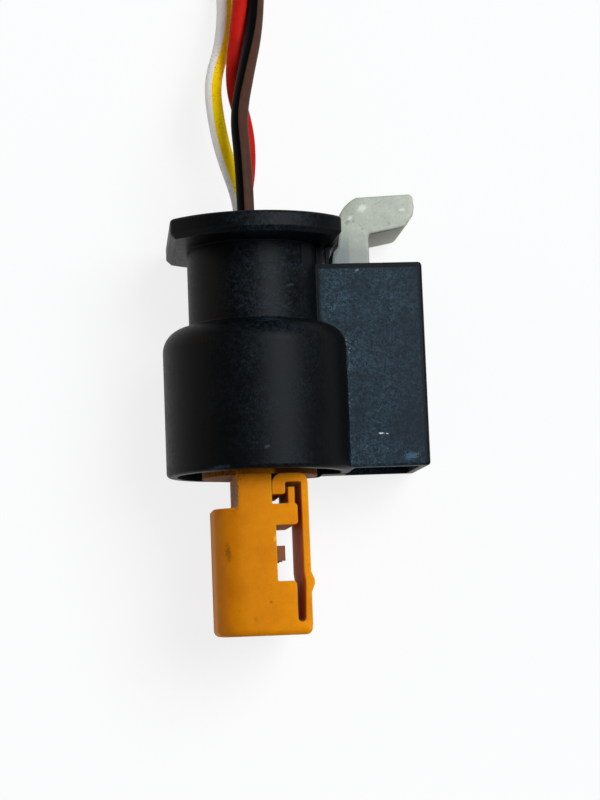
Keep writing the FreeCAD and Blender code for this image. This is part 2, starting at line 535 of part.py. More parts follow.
def contact_carrier():
    """The orange moulding: nose with windows and a flexing hooked arm, round plug and tail."""
    made = body("contact_carrier")
    left, right, deep = -D.nose_left, D.nose_right, NOSE_DEEP
    r, c = D.nose_round, D.nose_corner
    pad(made, "Nose", "XZ_Plane", -NOSE_END, NOSE_END - D.plug_low, [
        (left + r, deep, r), (left, deep - r), (left, r - deep, r), (left + r, -deep),
        (right - c, -deep, c), (right, c - deep), (right, deep - c, c), (right - c, deep),
    ])
    dress(made, "NoseEnd", "Fillet", D.nose_end_round, lambda e: level(e, -NOSE_END))
    block(made, "Notch", (left - PAST, -SHOULDER_LOW, -deep - PAST),
          (-D.stem_left, PAST, deep + PAST), cut=True)
    dress(made, "NotchRoot", "Fillet", D.notch_round, at_corner((-D.stem_left, -SHOULDER_LOW)))
    far = right + PAST
    pad(made, "Windows", "XY_Plane", -deep - PAST, (deep + PAST) * 2, [
        (BLOCK_EDGE, PAST), (BLOCK_EDGE, -BAR_TOP), (BAR_RIGHT, -BAR_TOP), (BAR_RIGHT, -BAR_BOTTOM),
        (WINDOW_LEFT, -BAR_BOTTOM), (WINDOW_LEFT, -WINDOW_BOTTOM), (SLOT_LEFT, -WINDOW_BOTTOM),
        (SLOT_LEFT, -SLOT_END), (far, -SLOT_END), (far, PAST),
    ], cut=True)
    dress(made, "BarRounds", "Fillet", D.bar_round,
          at_corner((BAR_RIGHT, -BAR_TOP), (BAR_RIGHT, -BAR_BOTTOM)))
    dress(made, "WindowRounds", "Fillet", D.window_round,
          at_corner((BLOCK_EDGE, -BAR_TOP), (WINDOW_LEFT, -BAR_BOTTOM), (WINDOW_LEFT, -WINDOW_BOTTOM)))
    dress(made, "BlockRound", "Fillet", D.block_round, at_corner((SLOT_LEFT, -WINDOW_BOTTOM)))
    block(made, "Tongue", (TONGUE_LEFT, -BAR_TOP - SINK, c - deep),
          (TONGUE_RIGHT, D.tongue_height - BAR_TOP, deep - c))
    top = -D.plug_low
    bend = D.hook_bend
    slope = D.bump_flat * 0.5 + D.bump_slope
    pad(made, "Arm", "XY_Plane", D.arm_set_back - deep, (deep - D.arm_set_back) * 2, [
        (ARM_IN, -SLOT_END - SINK), (right, -SLOT_END - SINK), (right, -BUMP - slope),
        (right + D.bump_height, -BUMP - D.bump_flat * 0.5), (right + D.bump_height, D.bump_flat * 0.5 - BUMP),
        (right, slope - BUMP), (right, top - bend, bend), (right - bend, top),
        (HOOK_LEFT + bend, top, bend), (HOOK_LEFT, top - bend),
        (HOOK_LEFT, -HOOK_TIP), (HOOK_RIGHT, -HOOK_TIP), (HOOK_RIGHT, -HOOK_UNDER),
        (ARM_IN, -HOOK_UNDER), (ARM_IN, slope - BUMP), (ARM_IN + D.arm_bow, -BUMP),
    ])
    dress(made, "HookInside", "Fillet", D.hook_inside,
          at_corner((HOOK_RIGHT, -HOOK_UNDER), (ARM_IN, -HOOK_UNDER), (HOOK_RIGHT, -HOOK_TIP)))
    dress(made, "SlotEnd", "Fillet", D.slot_round, at_corner((SLOT_LEFT, -SLOT_END), (ARM_IN, -SLOT_END)))
    turn(made, "RoundPlug", [
        (0, -D.plug_low), (PLUG_RADIUS, -D.plug_low), (PLUG_RADIUS, SKIRT_DEPTH - D.plug_ring_height),
        (PLUG_RING_RADIUS, SKIRT_DEPTH - D.plug_ring_height), (PLUG_RING_RADIUS, SKIRT_DEPTH),
        (TAIL_RADIUS, SKIRT_DEPTH), (TAIL_RADIUS, TAIL_TOP), (0, TAIL_TOP),
    ])
    tab = D.lance_width * 0.5 + D.lance_fit
    for k, z in enumerate(CONTACTS, start=1):
        block(made, f"Cavity{k}", (D.contact_place - CAVITY_HALF, D.nose_wall - NOSE_END, z - CAVITY_HALF),
              (CAVITY_RIGHT, TAIL_TOP + PAST, z + CAVITY_HALF), cut=True)
        bore(made, f"PinHole{k}", (D.contact_place, z), D.pin_hole_radius, -NOSE_END - PAST,
             D.nose_wall - NOSE_END + SINK)
        block(made, f"LanceSlot{k}", (D.contact_place, -LANCE_END - D.lance_fit, z - tab),
              (WINDOW_LEFT + PAST, D.lance_fit - LANCE_TOP, z + tab), cut=True)
    dress(made, "PinLeads", "Chamfer", D.pin_lead,
          lambda e: level(e, -NOSE_END) and near(e.BoundBox.Center.x, D.contact_place))
    return made


def lock_slider():
    """The natural-white locking slider: head, post with its catch, and the leg behind the latch beam."""
    made = body("lock_slider")
    leg_left = CAVITY_LEFT + D.leg_gap
    leg_low = D.beam_low + D.hook_length + D.leg_reach + D.slider_travel
    rise = HEAD_TOP - HEAD_UNDER
    tip = HEAD_UNDER + D.head_tip
    corner = D.head_round
    pad(made, "HeadAndPost", "XY_Plane", SLIDER_BACK, SLIDER_FRONT - SLIDER_BACK, [
        (POST_LEFT, POST_BOTTOM), (POST_RIGHT, POST_BOTTOM), (POST_RIGHT, HEAD_UNDER),
        (HEAD_RIGHT - D.head_tip * 0.35, HEAD_UNDER + rise * 0.18),
        (HEAD_RIGHT - D.head_tip * 0.05, HEAD_UNDER + D.head_tip * 0.7), (HEAD_RIGHT, tip),
        (HEAD_RIGHT - D.head_tip * 0.03, HEAD_TOP - corner, corner),
        (HEAD_RIGHT - D.head_tip * 0.03 - corner, HEAD_TOP),
        (HEAD_LEFT + D.head_slope, HEAD_TOP - rise * 0.06, D.head_slope * 2),
        (HEAD_LEFT, HEAD_TOP - D.head_shoulder), (FLANK + D.flank_gap, FLANGE_LOW),
        (POST_LEFT + D.flank_gap, FLANGE_LOW - D.flank_gap * 2), (POST_LEFT, BOX_TOP),
    ])
    dress(made, "PostCorner", "Fillet", D.post_corner, at_corner((POST_RIGHT, HEAD_UNDER)))
    block(made, "Leg", (leg_left, leg_low, SLIDER_BACK + D.leg_set_back),
          (POST_RIGHT, POST_BOTTOM + SINK, SLIDER_FRONT - D.leg_set_back))
    pad(made, "Catch", "XY_Plane", SLIDER_BACK + D.leg_set_back,
        SLIDER_FRONT - SLIDER_BACK - D.leg_set_back * 2, [
            (POST_RIGHT - SINK, POST_BOTTOM), (POST_RIGHT, POST_BOTTOM),
            (POST_RIGHT + D.catch, ROOF - D.slider_fit), (POST_RIGHT - SINK, ROOF - D.slider_fit),
        ])
    return made


def ring_seal():
    """The ring seal on the carrier's round plug, with three lips."""
    made = body("interface_seal")
    inside = PLUG_RADIUS + D.ring_seal_fit
    top = SKIRT_DEPTH - D.plug_ring_height - D.ring_seal_fit
    low = top - D.ring_seal_length
    pitch = D.ring_seal_length * (1 / 6)
    corners = [(inside, low), (SEAL_OUTSIDE, low)]
    for k in (1, 3, 5):
        corners += [(SEAL_OUTSIDE, low + pitch * (k - 0.8)),
                    (SEAL_OUTSIDE + D.ring_seal_lip, low + pitch * k),
                    (SEAL_OUTSIDE, low + pitch * (k + 0.8))]
    turn(made, "Ring", corners + [(SEAL_OUTSIDE, top), (inside, top)])
    return made


def wire_seal(k, z):
    """One silicone wire seal with two ribs, in its bore under the rear cover."""
    made = body(f"wire_seal_{WIRE_NAMES[k]}")
    inside = D.wire_radius + D.seal_fit
    crest = D.seal_bore_radius - D.seal_fit
    outside = crest - D.seal_rib
    pitch = D.seal_length * 0.25
    seal_top = SEAL_LOW + D.seal_length
    corners = [(inside, SEAL_LOW), (outside, SEAL_LOW)]
    for turns in (1, 3):
        corners += [(outside, SEAL_LOW + pitch * (turns - 0.7)), (crest, SEAL_LOW + pitch * turns),
                    (outside, SEAL_LOW + pitch * (turns + 0.7))]
    turn(made, f"Ribbed{k}", corners + [(outside, seal_top), (inside, seal_top)])
    bind(made, Placement__Base__x=D.contact_place, Placement__Base__z=z)
    return made


def rear_cover():
    """The cap in the flange that keeps the wire seals in, with one hole for each wire."""
    made = body("rear_cover")
    side = D.seal_bore_radius + D.cover_side
    end = D.contact_pitch + D.seal_bore_radius + D.cover_end
    block(made, "Plate", (D.contact_place - side, COVER_LOW, -end), (D.contact_place + side, FLANGE_TOP, end))
    dress(made, "PlateCorners", "Fillet", D.cover_round,
          lambda e: e.BoundBox.XLength < 0.01 and e.BoundBox.ZLength < 0.01)
    dress(made, "PlateEdge", "Fillet", D.cover_edge, lambda e: level(e, FLANGE_TOP))
    for k, z in enumerate(CONTACTS, start=1):
        bore(made, f"WireHole{k}", (D.contact_place, z), D.wire_radius + D.cover_hole_fit,
             COVER_LOW - PAST, FLANGE_TOP + PAST)
    return made


def terminal(k, z):
    """One copper contact: square box with a locking tab, neck, conductor and insulation crimps."""
    made = body(f"terminal_{WIRE_NAMES[k]}")
    half = D.contact_side * 0.5 - D.spring_sheet - D.crimp_fit
    x = D.contact_place
    block(made, f"Box{k}", (x - half, CONTACT_END, z - half), (x + half, BOX_END, z + half))
    block(made, f"Floor{k}", (x - half, BOX_END - SINK, z - half),
          (x - half + D.contact_sheet, SLEEVE_END, z + half))
    bore(made, f"Crimp{k}", (x, z), half, CRIMP_START, CRIMP_END, cut=False)
    bore(made, f"Sleeve{k}", (x, z), D.wire_radius + D.contact_sheet * 0.5, WIRE_START, SLEEVE_END, cut=False)
    block(made, f"Lance{k}", (x + half - SINK, -LANCE_END, z - D.lance_width * 0.5),
          (LANCE_TIP, -LANCE_TOP, z + D.lance_width * 0.5))
    socket = D.socket_side * 0.5
    block(made, f"Socket{k}", (x - socket, CONTACT_END - PAST, z - socket),
          (x + socket, BOX_END - D.socket_floor, z + socket), cut=True)
    bore(made, f"Strands{k}", (x, z), D.conductor_radius + D.crimp_fit, CRIMP_START - SINK,
         WIRE_START + D.crimp_fit)
    bore(made, f"Grip{k}", (x, z), D.wire_radius + D.crimp_fit, WIRE_START - D.crimp_fit, SLEEVE_END + PAST)
    return made


def contact_spring(k, z):
    """The steel spring sleeve round one contact box, behind its locking tab."""
    made = body(f"contact_spring_{WIRE_NAMES[k]}")
    outer = D.contact_side * 0.5
    inner = outer - D.spring_sheet
    x = D.contact_place
    low = D.lance_fit - LANCE_TOP
    high = low + D.spring_length
    block(made, f"Around{k}", (x - outer, low, z - outer), (x + outer, high, z + outer))
    block(made, f"Inside{k}", (x - inner, low - PAST, z - inner),
          (x + inner, high + PAST, z + inner), cut=True)
    return made


def conductor(k, z):
    """The bared copper strands of one wire, in the conductor crimp."""
    made = body(f"conductor_{WIRE_NAMES[k]}")
    bore(made, f"Copper{k}", (D.contact_place, z), D.conductor_radius, CRIMP_START - D.wire_bare,
         WIRE_START - D.crimp_fit, cut=False)
    return made


def wire_end(k, z):
    """The straight end of one insulated wire, held in its seal and crimp."""
    made = body(f"wire_end_{WIRE_NAMES[k]}")
    bore(made, f"Insulation{k}", (D.contact_place, z), D.wire_radius, WIRE_START, ROUTE_START, cut=False)
    return made


# The free wires' routes, chosen by hand. Each point is given sideways from the row of contacts, ahead
# of the wire's straight end in the rear cover, and above the table.
ROUTES = {
    "brown": [(-0.10, 6.9, 11.0), (-0.32, 10.8, 10.25), (0.63, 15.2, 8.75), (1.77, 19.9, 6.75),
              (2.36, 25.6, 4.15), (3.4, 32.6, 1.6), (5.0, 41.0, 0.0), (5.9, 50.5, 0.0),
              (6.6, 60.0, 0.0), (8.3, 69.5, 0.0), (9.0, 77.5, 0.0)],
    "yellow": [(-1.6, 7.8, 7.45), (-2.15, 11.6, 6.1), (-2.33, 15.6, 4.55), (-0.87, 20.1, 2.75),
               (-0.45, 26.1, 1.1), (-1.6, 34.0, 0.0), (-2.0, 43.0, 0.0), (-1.8, 52.5, 0.0),
               (-3.3, 62.5, 0.0), (-3.6, 72.0, 0.0), (-5.2, 80.5, 0.0)],
    "red": [(0.89, 7.0, 4.35), (0.78, 11.0, 4.85), (-0.5, 14.8, 5.55), (-0.22, 19.4, 5.95),
            (0.62, 25.6, 4.3), (1.0, 33.0, 1.5), (1.6, 41.5, 0.0), (1.0, 51.0, 0.0),
            (1.7, 61.0, 0.0), (1.5, 70.5, 0.0)],
}


def tube_path(points):
    """Straight runs joined by tangent arcs, each as large as its two runs allow."""
    edges = []
    at = points[0]
    for before, here, after in zip(points, points[1:], points[2:]):
        back, on = before - here, after - here
        turned = math.pi - back.getAngle(on)
        cut = 0.45 * min(back.Length, on.Length)
        radius = cut / math.tan(turned / 2)
        print(f"  turn {math.degrees(turned):.1f} degrees, radius {radius:.1f}")
        start = here + back.normalize() * cut
        end = here + on.normalize() * cut
        middle = (start + end) * 0.5 - here
        middle_of_arc = here + middle.normalize() * (radius / math.cos(turned / 2) - radius)
        edges.append(Part.LineSegment(at, start).toShape())
        edges.append(Part.Arc(start, middle_of_arc, end).toShape())
        at = end
    edges.append(Part.LineSegment(at, points[-1]).toShape())
    return Part.Wire(edges)


def wire(k, z):
    """The free stretch of one insulated wire, from the rear cover to its cut end."""
    name = WIRE_NAMES[k]
    radius = D.wire_radius.number
    exit_point = V(D.contact_place.number, ROUTE_START.number, z.number)
    table = (BACK + D.wire_radius).number
    points = [exit_point, exit_point + V(0, D.wire_straight.number, 0)]
    points += [V(exit_point.x + x, exit_point.y + y, table + up) for x, y, up in ROUTES[name]]
    print(f"wire_{name}")
    path = tube_path(points)
    ring = Part.Wire(Part.Circle(points[0], V(0, 1, 0), radius).toShape())
    tube = path.makePipeShell([ring], True, False)
    if not tube.isValid() or tube.ShapeType != "Solid":
        tube = Part.Solid(Part.Shell(tube.Faces))
    expected = math.pi * radius**2 * path.Length
    print(f"  length {path.Length:.1f}, volume {tube.Volume:.2f} of {expected:.2f}")
    made = doc.addObject("Part::Feature", f"wire_{name}")
    made.Label = f"wire_{name}"
    made.Shape = tube
    return made


def build():
    """Make every sub-part and check it."""
    parts = [outer_housing(), contact_carrier(), lock_slider(), ring_seal(), rear_cover()]
    for k, z in enumerate(CONTACTS):
        parts += [wire_seal(k, z), terminal(k, z), contact_spring(k, z), conductor(k, z)]
        parts += [wire_end(k, z), wire(k, z)]
    doc.recompute()
    for thing in doc.Objects:
        if "Invalid" in thing.State or "Error" in thing.State:
            raise RuntimeError(f"{thing.Name} failed: {thing.State}")
    os.makedirs("parts", exist_ok=True)
    for part in parts:
        shape = part.Shape
        if shape.isNull() or not shape.isValid():
            raise RuntimeError(f"{part.Label} has no valid shape")
        print(f"{part.Label}: {len(shape.Solids)} solid, volume {shape.Volume:.2f}")
        shape.exportStep(f"parts/{part.Label}.step")


build()
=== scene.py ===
import math

import bpy
import bmesh
from mathutils import Matrix, Vector


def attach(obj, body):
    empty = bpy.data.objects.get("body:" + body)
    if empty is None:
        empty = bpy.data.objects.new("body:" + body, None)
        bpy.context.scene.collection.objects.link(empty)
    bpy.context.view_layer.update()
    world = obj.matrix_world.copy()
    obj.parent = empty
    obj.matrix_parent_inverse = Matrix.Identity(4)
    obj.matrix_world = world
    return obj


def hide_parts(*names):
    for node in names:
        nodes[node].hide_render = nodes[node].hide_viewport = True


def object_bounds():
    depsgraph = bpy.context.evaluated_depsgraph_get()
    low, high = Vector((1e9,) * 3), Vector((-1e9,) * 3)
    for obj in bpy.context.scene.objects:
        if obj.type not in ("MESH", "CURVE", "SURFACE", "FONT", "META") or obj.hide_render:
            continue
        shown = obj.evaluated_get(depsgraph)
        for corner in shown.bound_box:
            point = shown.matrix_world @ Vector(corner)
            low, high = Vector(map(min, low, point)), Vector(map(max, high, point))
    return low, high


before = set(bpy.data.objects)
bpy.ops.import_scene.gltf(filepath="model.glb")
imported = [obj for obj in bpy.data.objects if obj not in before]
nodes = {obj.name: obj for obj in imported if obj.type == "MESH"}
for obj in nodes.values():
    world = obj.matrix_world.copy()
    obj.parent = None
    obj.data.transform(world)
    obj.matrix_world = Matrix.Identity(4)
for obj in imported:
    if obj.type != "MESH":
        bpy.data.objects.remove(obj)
CAD_BOX = [list(corner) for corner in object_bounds()]

MM = 0.001

# The photograph's view, worked out from the skirt, flange and latch box in it.
VIEW_DISTANCE = 184.3 * MM
VIEW_LEFT = math.radians(5.66)
VIEW_BELOW = math.radians(6.31)
VIEW_ROLL = math.radians(-2.24)
VIEW_ACROSS = 3.72 * MM
VIEW_UP = 6.92 * MM
VIEW_NEAREST = 10 * MM
LENS = 90
SENSOR = 36

# The light: an even surrounding, and lamps with their name, place and side in metres, watts and colour.
SURROUNDING = "E0EAF4"
SURROUNDING_STRENGTH = 0.27
LAMPS = [
    ("key", (0.25, 0.16, 0.47), 0.34, 3.3, "F4F9FF"),
    ("side", (-0.40, 0.16, 0.10), 0.22, 0.22, "FFE4C8"),
]
LAMPS_AIM = Vector((0.002, 0.005, 0))
FLOOR_HALF = 6.0
FLOOR_GLOW = 0.82

# The black moulding, in millimetres: the level of the latch box's flat face, the corner beside the skirt,
# at each part's edge the stretch over which the finish changes, and the line along the top of the round
# parts where their painted highlight lies.
BLACK = "020303"
BOX_FACE = 2.0
BOX_CORNER = 8.4
FACE_FROM = (5.9, 6.2)
BOX_FROM = (8.6, 9.0)
BOX_RIGHT_EDGE = (15.15, 15.3)
BOX_UPPER_EDGE = (18.70, 18.85)
NECK_FROM = (13.6, 15.0)
TOP_HIGHLIGHT = 1.2

# The orange moulding, in millimetres: the stretch over which painted shade darkens it, from left to right,
# and the ones over which painted shade begins near the skirt's mouth and in it.
LEFT_SHADE = (-6.0, 4.0)
NEAR_MOUTH = (-1.3, -0.1)
IN_MOUTH = (-0.31, -0.24)
LEFT_OF_TONGUE = (-2.9, -2.5)
RIGHT_OF_TONGUE = (0.7, 1.1)
MOUTH_SHADE_LEFT = (-2.6, -1.2)

# The white moulding, in millimetres: the stretches over which painted shade darkens it towards the latch
# box and on its left side, and over which its colour changes towards its back.
POST = (20.6, 22.6)
POST_LEFT = (8.9, 9.2)
SLIDER_BACK = (0.3, 0.9)

# The wires: their sizes, how much of its room a strand fills, and the stripe's share of the way round, its
# soft edge, and where along the wire it turns, in millimetres.
WIRES = ["brown", "yellow", "red"]
WIRE_DIAMETER = 1.6 * MM
WIRE_SIDES = 32
STRANDS_WIDTH = 0.97
STRIPE_SHARE = 0.40
STRIPE_SOFT = 0.008
TWIST_FROM_TO = (11, 22)

# The slider: how round its mould leaves the edges, the turn from which an edge is sharp, the turn up to
# which faces are one, and how close points are one.
SLIDER_EDGE = 0.28 * MM
SHARP = math.radians(40)
FLAT = math.radians(0.5)
TOUCHING = 0.001 * MM

# Rays that feel for each soft corner in a material.
BEVEL_SAMPLES = 4

# Marks on the plastic: middle and half size in millimetres, colour, and turn in degrees.
HOUSING_MARKS = [
    ((11.15, 3.35, 2.0), (0.42, 0.13, 0.5), "C9CCC8", 4),
    ((11.75, 3.30, 2.0), (0.22, 0.09, 0.5), "B4B8B6", 0),
    ((9.6, 18.6, 2.0), (0.30, 0.16, 0.5), "5C6B75", 30),
    ((13.9, 1.2, 2.0), (1.1, 0.5, 0.5), "3C5666", 12),
    ((-3.9, 0.25, 6.5), (1.5, 0.30, 2.5), "27323A", 3),
    ((0.1, 1.9, 8.5), (0.45, 0.22, 1.0), "2C363C", 25),
    ((1.0, 13.4, 7.5), (1.4, 0.25, 2.5), "1C262C", -5),
    ((3.0, 16.8, 5.5), (0.5, 0.20, 2.0), "26323A", 15),
    ((-2.4, 21.9, 8.0), (0.9, 0.16, 3.0), "2A3338", 5),
]
CARRIER_MARKS = [
    ((-3.45, -7.2, 5.5), (0.42, 1.30, 1.6), "935804", 8),
    ((0.2, -11.7, 5.5), (0.20, 0.24, 1.0), "A86A04", 0),
    # A painted highlight: a soft light patch right of the carrier's middle.
    ((0.8, -6.1, 5.5), (0.30, 0.45, 1.0), "EDAA38", -20),
    ((-4.9, -4.6, 5.0), (0.20, 0.20, 1.0), "6E4410", 0),
    # Painted shade over the stem's left side.
    ((-2.72, -1.7, 0.0), (0.62, 2.7, 16.0), "301A06", 0),
    ((-1.2, -13.2, 5.5), (0.30, 0.40, 1.0), "BC7402", 30),
]
SLIDER_MARKS = [
    ((11.85, 25.05, 1.05), (0.95, 0.035, 0.5), "7C7E72", 31),
    ((10.45, 24.6, 1.05), (0.72, 0.50, 0.5), "D0D3C9", 35),
    ((9.25, 23.7, 1.05), (0.42, 0.32, 0.5), "D2D5CA", 40),
    ((9.0, 23.3, 1.05), (0.40, 0.22, 0.5), "8E9182", 40),
    ((9.55, 23.35, 1.05), (0.16, 0.12, 0.5), "8C8E80", 0),
    ((10.35, 22.6, 1.05), (0.20, 0.14, 0.5), "8E9084", 20),
    ((14.2, 24.4, 1.05), (0.45, 0.22, 0.5), "CDD0C5", 5),
    ((12.9, 23.1, 1.05), (0.34, 0.30, 0.5), "999C8C", 0),
]

# Where each wire leaves the rear cover, and its route: every point sideways from the row of contacts, ahead
# of the wire's straight end, and above the table, in millimetres. The points are part.py's, but for three
# of the red wire's, which are moved sideways by up to 0.46 mm to follow the photograph.
EXITS = {"brown": (-0.65, 22.41, 3.4), "yellow": (-0.65, 22.41, 0.0), "red": (-0.65, 22.41, -3.4)}
STRAIGHT = 3.0
LYING = -7.75
ROUTES = {
    "brown": [(-0.10, 6.9, 11.0), (-0.32, 10.8, 10.25), (0.63, 15.2, 8.75), (1.77, 19.9, 6.75),
              (2.36, 25.6, 4.15), (3.4, 32.6, 1.6), (5.0, 41.0, 0.0), (5.9, 50.5, 0.0),
              (6.6, 60.0, 0.0), (8.3, 69.5, 0.0), (9.0, 77.5, 0.0)],
    "yellow": [(-1.6, 7.8, 7.45), (-2.15, 11.6, 6.1), (-2.33, 15.6, 4.55), (-0.87, 20.1, 2.75),
               (-0.45, 26.1, 1.1), (-1.6, 34.0, 0.0), (-2.0, 43.0, 0.0), (-1.8, 52.5, 0.0),
               (-3.3, 62.5, 0.0), (-3.6, 72.0, 0.0), (-5.2, 80.5, 0.0)],
    "red": [(0.89, 7.0, 4.35), (0.78, 11.0, 4.85), (-0.4, 14.8, 5.55), (0.12, 19.4, 5.95),
            (1.08, 25.6, 4.3), (1.0, 33.0, 1.5), (1.6, 41.5, 0.0), (1.0, 51.0, 0.0),
            (1.7, 61.0, 0.0), (1.5, 70.5, 0.0)],
}
ROUTE_STEPS = 12


def camera():
    """The photograph's camera: above the plug, a little to its left and towards its nose."""
    back = Vector((
        -math.sin(VIEW_LEFT) * math.cos(VIEW_BELOW),
        -math.sin(VIEW_BELOW),
        math.cos(VIEW_LEFT) * math.cos(VIEW_BELOW),
    ))
    level = (-back).cross(Vector((0, 1, 0))).normalized()
    upright = level.cross(-back)
    right = level * math.cos(VIEW_ROLL) + upright * math.sin(VIEW_ROLL)
    up = upright * math.cos(VIEW_ROLL) - level * math.sin(VIEW_ROLL)
    data = bpy.data.cameras.new("camera")
    data.sensor_fit = "VERTICAL"
    data.sensor_height = SENSOR
    data.lens = LENS
    data.clip_start = VIEW_NEAREST
    made = bpy.data.objects.new("camera", data)
    place = back * VIEW_DISTANCE + right * VIEW_ACROSS + up * VIEW_UP
    made.matrix_world = Matrix.Translation(place) @ Matrix((right, up, back)).transposed().to_4x4()
    bpy.context.collection.objects.link(made)
    bpy.context.scene.camera = made


def linear(code):
    """An sRGB hex colour as linear values."""
    parts = [int(code[i:i + 2], 16) / 255 for i in (0, 2, 4)]
    parts = [p / 12.92 if p <= 0.04045 else ((p + 0.055) / 1.055) ** 2.4 for p in parts]
    return (*parts, 1.0)


def add(tree, kind, *inputs, get=None, **named):
    """Adds a node to a tree with its settings and links, and gives the output asked for, or its first.

    An input is a value, a hex colour, the output that feeds it, or a list of outputs that it joins. Those
    without a name go to the sockets in use, in their order. A name with a capital is a socket's, with _
    for a space, and a name in small letters is a setting's.
    """
    made = tree.nodes.new(kind)
    for name, value in named.items():
        if name[0].islower():
            setattr(made, name, value)
    fed = list(zip([socket for socket in made.inputs if socket.enabled], inputs))
    fed += [(made.inputs[name.replace("_", " ")], value) for name, value in named.items()
            if name[0].isupper()]
    for socket, value in fed:
        if isinstance(value, (bpy.types.NodeSocket, list)):
            for source in value if isinstance(value, list) else [value]:
                tree.links.new(source, socket)
        else:
            socket.default_value = linear(value) if isinstance(value, str) else value
    in_use = [socket for socket in made.outputs if socket.enabled]
    if get:
        return made.outputs[get]
    return in_use[0] if in_use else None


def start(name):
    """An empty material, its tree, and the place on the piece that its patterns follow."""
    made = bpy.data.materials.new(name)
    made.use_nodes = True
    made.node_tree.nodes.clear()
    return made, made.node_tree, add(made.node_tree, "ShaderNodeTexCoord", get="Object")


def blotches(tree, place, size_mm, low, high, least=0.0, most=1.0, **kind):
    """Blotches about size_mm across: from least to most, where the noise goes from low to high."""
    field = add(tree, "ShaderNodeTexNoise", Vector=place, Scale=1 / (size_mm * MM), **kind)
    return add(tree, "ShaderNodeMapRange", field, low, high, least, most)


def along(tree, place, axis, low_mm, high_mm, least=0.0, most=1.0):
    """From least to most, between two places along an axis of the object."""
    reach = add(tree, "ShaderNodeSeparateXYZ", place, get=axis)
    return add(tree, "ShaderNodeMapRange", reach, low_mm * MM, high_mm * MM, least, most)


def near(tree, place, axis, at_mm, full_mm, none_mm):
    """A mask of what lies near a plane across an axis: full up to full_mm from it, none past none_mm."""
    reach = add(tree, "ShaderNodeSeparateXYZ", place, get=axis)
    off = add(tree, "ShaderNodeMath", reach, at_mm * MM, operation="SUBTRACT")
    off = add(tree, "ShaderNodeMath", off, operation="ABSOLUTE")
    return add(tree, "ShaderNodeMapRange", off, full_mm * MM, none_mm * MM, 1, 0)


def worn_edge(tree, place, width_mm):
    """A broken mask of the piece's corners, where handling and dirt tell."""
    flat = add(tree, "ShaderNodeNewGeometry", get="Normal")
    soft = add(tree, "ShaderNodeBevel", Radius=width_mm * MM, samples=BEVEL_SAMPLES)
    alike = add(tree, "ShaderNodeVectorMath", flat, soft, operation="DOT_PRODUCT")
    corner = add(tree, "ShaderNodeMapRange", alike, 0.72, 0.99, 1, 0)
    broken = blotches(tree, place, 0.5, 0.35, 0.62, 0.2, 1.0, Detail=4, Roughness=0.65)
    return add(tree, "ShaderNodeMath", corner, broken, operation="MULTIPLY")


def marks(tree, place, rows):
    """Small marks as layers of colour, each full in its middle and ragged where it ends."""
    ragged = blotches(tree, place, 0.12, 0.36, 0.64, 0, 0.7, Detail=4, Roughness=0.7)
    layers = []
    for centre, half, code, turn in rows:
        local = add(tree, "ShaderNodeMapping", Vector=place, Location=tuple(c * MM for c in centre),
                    Rotation=(0, 0, math.radians(turn)), Scale=tuple(h * MM for h in half),
                    vector_type="TEXTURE")
        reach = add(tree, "ShaderNodeVectorMath", local, operation="LENGTH")
        reach = add(tree, "ShaderNodeMath", reach, ragged, operation="ADD")
        layers.append((code, add(tree, "ShaderNodeMapRange", reach, 0.75, 1.05, 1, 0)))
    return layers


def layered(tree, base, layers):
    """A base colour with layers over it, each a colour and the masks that it shows through together."""
    for colour, mask, *others in layers:
        for other in others:
            mask = add(tree, "ShaderNodeMath", mask, other, operation="MULTIPLY")
        base = add(tree, "ShaderNodeMix", mask, base, colour, data_type="RGBA")
    return base


def moulded(tree, place, grain_mm, deep_mm, strength, edge_mm=0.0, **kind):
    """A normal with the mould's grain, deep_mm deep, and edges that look edge_mm round."""
    grain = add(tree, "ShaderNodeTexNoise", Vector=place, Scale=1 / (grain_mm * MM), **kind)
    if edge_mm:
        kept = {"Normal": add(tree, "ShaderNodeBevel", Radius=edge_mm * MM, samples=BEVEL_SAMPLES)}
    else:
        kept = {}
    return add(tree, "ShaderNodeBump", Height=grain, Distance=deep_mm * MM, Strength=strength, **kept)


